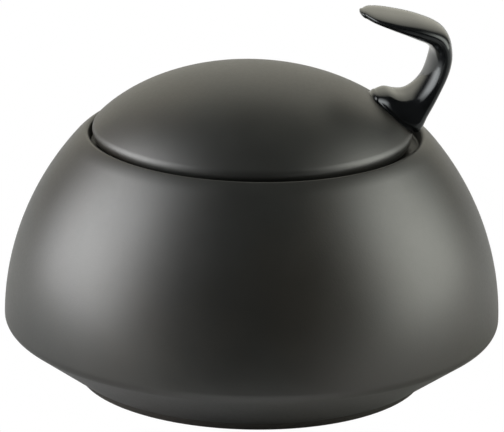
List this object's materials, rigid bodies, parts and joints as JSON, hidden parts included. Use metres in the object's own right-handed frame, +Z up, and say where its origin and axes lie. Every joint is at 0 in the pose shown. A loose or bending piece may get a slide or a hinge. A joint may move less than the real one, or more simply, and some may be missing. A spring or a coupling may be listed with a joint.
{
  "type": "sugar bowl",
  "caption": "Low round sugar bowl on a foot ring, with a recessed domed lid that lifts out by a curled ribbon handle at its edge.",
  "frame": {"origin": "centre of the foot ring's underside, on the bowl's axis, at table height", "axes": "+Z up along the bowl's axis; +X from the axis towards the lid's handle; +Y completes the right-handed frame"},
  "size_m": [0.115, 0.115, 0.0867],
  "materials": {
    "bowl_glaze": "satin black glaze outside, glossy black inside, bare foot ring",
    "lid_glaze": "satin black glaze on top, glossy black beneath",
    "handle_glaze": "glossy black glaze"
  },
  "bodies": {
    "bowl": {"bowl": "bowl_glaze"},
    "lid": {"lid": "lid_glaze", "lid_handle": "handle_glaze"}
  },
  "joints": [
    {"name": "lid_lift", "type": "slide", "parent": "bowl", "child": "lid", "axis": [0, 0, 1], "range_m": [0, 0.08]}
  ]
}
